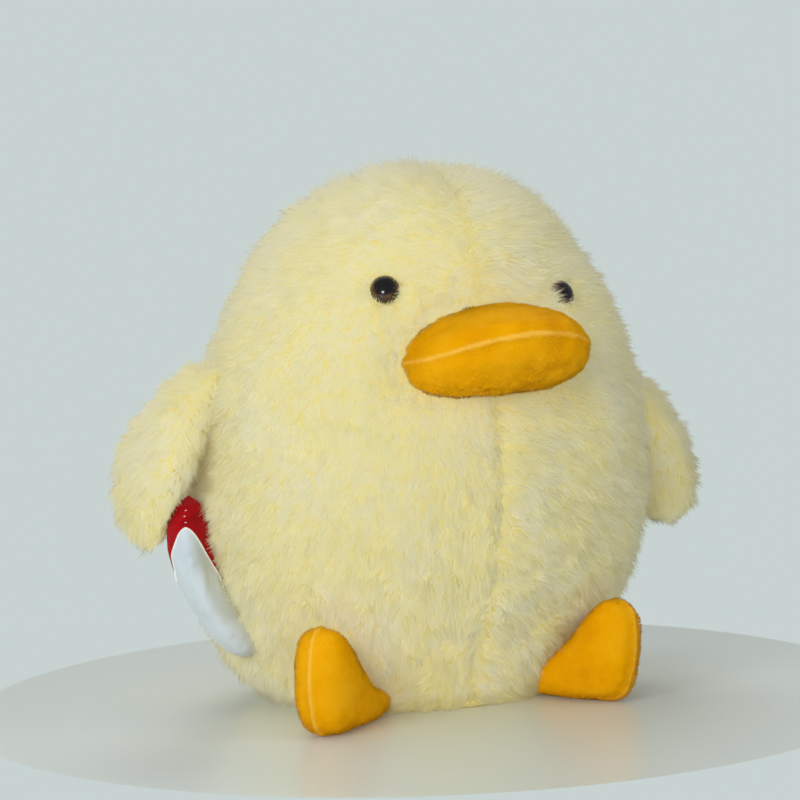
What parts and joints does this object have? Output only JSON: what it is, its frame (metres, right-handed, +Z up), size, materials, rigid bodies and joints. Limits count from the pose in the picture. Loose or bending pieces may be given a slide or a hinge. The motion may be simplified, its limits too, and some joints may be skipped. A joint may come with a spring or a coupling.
{
  "type": "plush duck",
  "caption": "Seated egg-shaped plush duck with a stuffed beak, wings and feet, button eyes, and a small stuffed toy knife sewn under one wing.",
  "frame": {"origin": "on the flat base, under the middle of the body", "axes": "+Z up, the duck faces -Y, and its right side, with the toy knife, is -X"},
  "size_m": [0.2663, 0.2367, 0.23],
  "materials": {
    "fur": "long soft pile, pale cream yellow",
    "base_cloth": "short-pile cloth, pale yellow",
    "orange_velboa": "short velvety pile, orange yellow",
    "handle_cloth": "short velvety pile, dark red",
    "blade_satin": "soft satin, pale silver grey",
    "eye_gloss": "polished, black",
    "washer_plastic": "moulded, off white",
    "fibre": "loose polyester fibre, white"
  },
  "bodies": {
    "body": {"body_skin_right": "fur", "body_skin_left": "fur", "base_panel": "base_cloth", "body_filling": "fibre", "eye_right": "eye_gloss", "eye_washer_right": "washer_plastic", "eye_left": "eye_gloss", "eye_washer_left": "washer_plastic", "beak_upper_panel": "orange_velboa", "beak_lower_panel": "orange_velboa", "beak_filling": "fibre", "tail_upper_panel": "fur", "tail_lower_panel": "fur", "tail_filling": "fibre"},
    "foot_right": {"foot_right_outer_panel": "orange_velboa", "foot_right_inner_panel": "orange_velboa", "foot_right_filling": "fibre"},
    "foot_left": {"foot_left_outer_panel": "orange_velboa", "foot_left_inner_panel": "orange_velboa", "foot_left_filling": "fibre"},
    "wing_right": {"wing_right_outer_panel": "fur", "wing_right_inner_panel": "fur", "wing_right_filling": "fibre"},
    "wing_left": {"wing_left_outer_panel": "fur", "wing_left_inner_panel": "fur", "wing_left_filling": "fibre"},
    "knife": {"knife_handle_inner_panel": "handle_cloth", "knife_handle_outer_panel": "handle_cloth", "knife_blade_inner_panel": "blade_satin", "knife_blade_outer_panel": "blade_satin", "knife_filling": "fibre"}
  },
  "joints": [
    {"name": "wing_right_lift", "type": "hinge", "parent": "body", "child": "wing_right", "pos_m": [-0.092, -0.001, 0.15], "axis": [0, 1, 0], "range_deg": [0, 75]},
    {"name": "wing_left_lift", "type": "hinge", "parent": "body", "child": "wing_left", "pos_m": [0.093, -0.001, 0.145], "axis": [0, -1, 0], "range_deg": [0, 75]},
    {"name": "foot_right_turn", "type": "hinge", "parent": "body", "child": "foot_right", "pos_m": [-0.036, -0.0368, 0.0006], "axis": [0, 0, 1], "range_deg": [-10, 10]},
    {"name": "foot_left_turn", "type": "hinge", "parent": "body", "child": "foot_left", "pos_m": [0.0286, -0.026, 0.0006], "axis": [0, 0, 1], "range_deg": [-10, 10]},
    {"name": "knife_swing", "type": "hinge", "parent": "wing_right", "child": "knife", "pos_m": [-0.111, -0.008, 0.09], "axis": [1, 0, 0], "range_deg": [-20, 0]}
  ]
}
